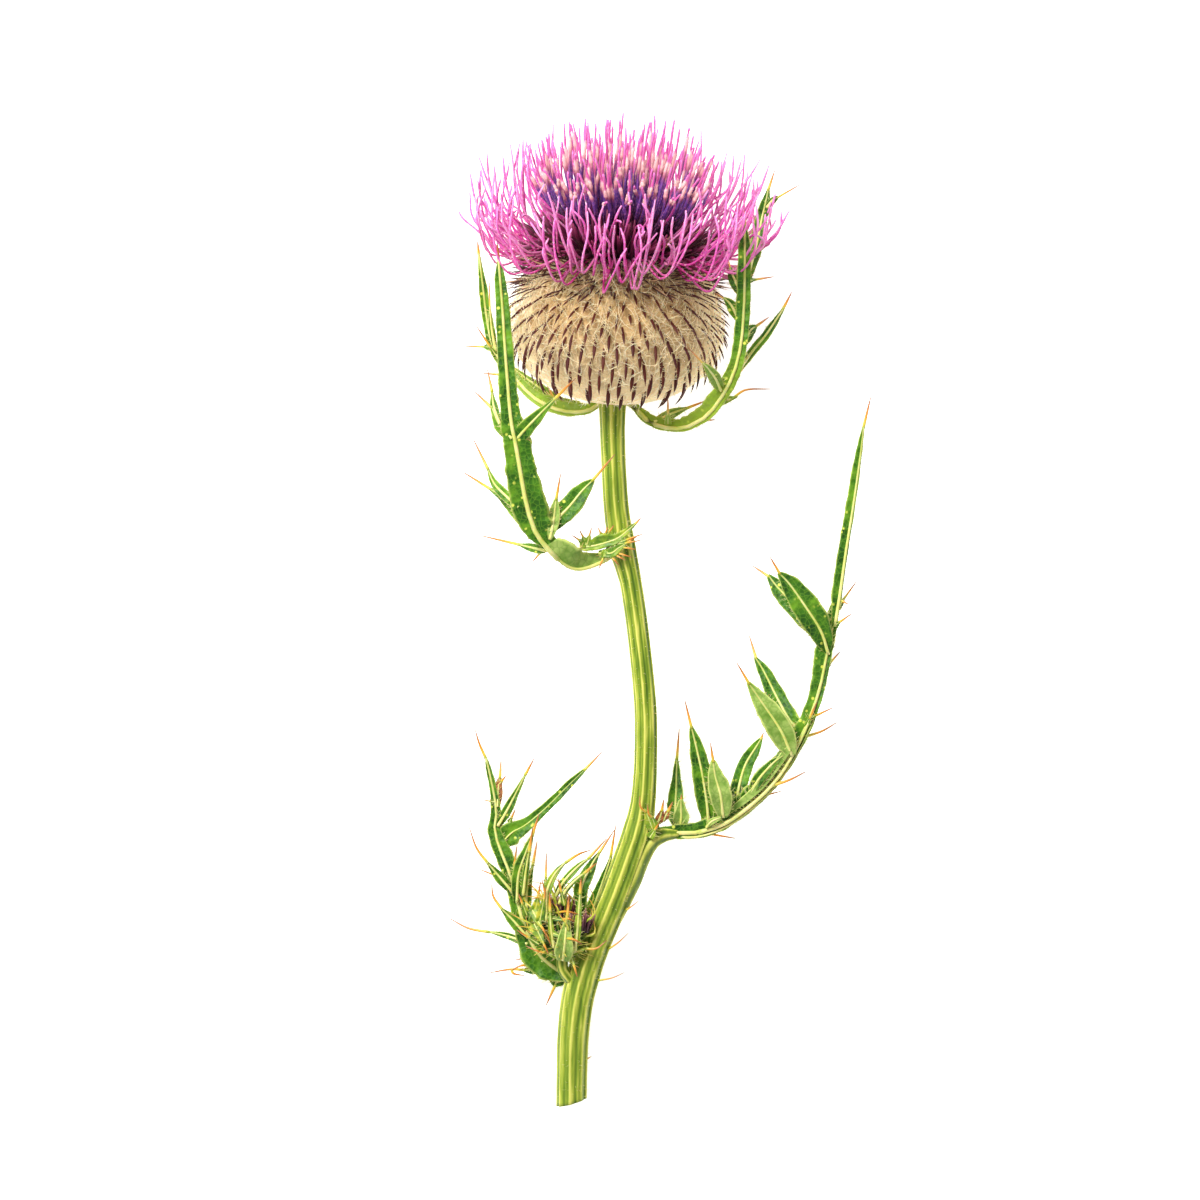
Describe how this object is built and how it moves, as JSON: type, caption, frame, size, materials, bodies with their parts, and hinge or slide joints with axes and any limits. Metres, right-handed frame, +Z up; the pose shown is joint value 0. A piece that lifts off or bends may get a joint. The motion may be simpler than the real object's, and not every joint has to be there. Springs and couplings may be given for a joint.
{
  "type": "thistle flower",
  "caption": "Cut, flowering stem of a woolly thistle with its spiny leaves and a side bud, lying down; it only rests on a surface.",
  "frame": {"origin": "centre of the bounding box in X and Y, on the surface that the thistle lies on", "axes": "+Y along the stem from the cut end to the flower, +X across it, +Z up from the surface"},
  "size_m": [0.1065, 0.2492, 0.072],
  "materials": {
    "stem": "satin, ribbed, yellow-green ridges with dark green grooves",
    "leaf": "satin, deep green with pale cream veins",
    "wool": "matt, cobwebby cream hairs between dark bract tips",
    "floret_pink": "matt, bright pink filaments",
    "floret_violet": "matt, dark violet anther tubes",
    "bud_green": "satin dark green",
    "bud_floret": "matt purple-brown",
    "sprout": "matt brown"
  },
  "bodies": {
    "root": {"stem": "stem", "bract_row_01": "wool", "bract_row_02": "wool", "bract_row_03": "wool", "bract_row_04": "wool", "bract_row_05": "wool", "bract_row_06": "wool", "bract_row_07": "wool", "bract_row_08": "wool", "bract_row_09": "wool", "bract_row_10": "wool", "floret_ring_1": "floret_violet", "floret_ring_2": "floret_violet", "floret_ring_3": "floret_violet", "floret_ring_4": "floret_pink", "floret_ring_5": "floret_pink", "floret_ring_6": "floret_pink", "head_leaf_left": "leaf", "head_leaf_right": "leaf", "upper_left_leaf": "leaf", "right_long_leaf": "leaf", "lower_left_leaf": "leaf", "small_back_leaf": "leaf", "bud_stalk": "stem", "bud_involucre": "bud_green", "bud_florets": "bud_floret", "bud_bract_1": "leaf", "bud_bract_2": "leaf", "bud_bract_3": "leaf", "bud_bract_4": "leaf", "bud_bract_5": "leaf", "bud_bract_6": "leaf", "axil_sprout": "sprout"}
  },
  "joints": []
}
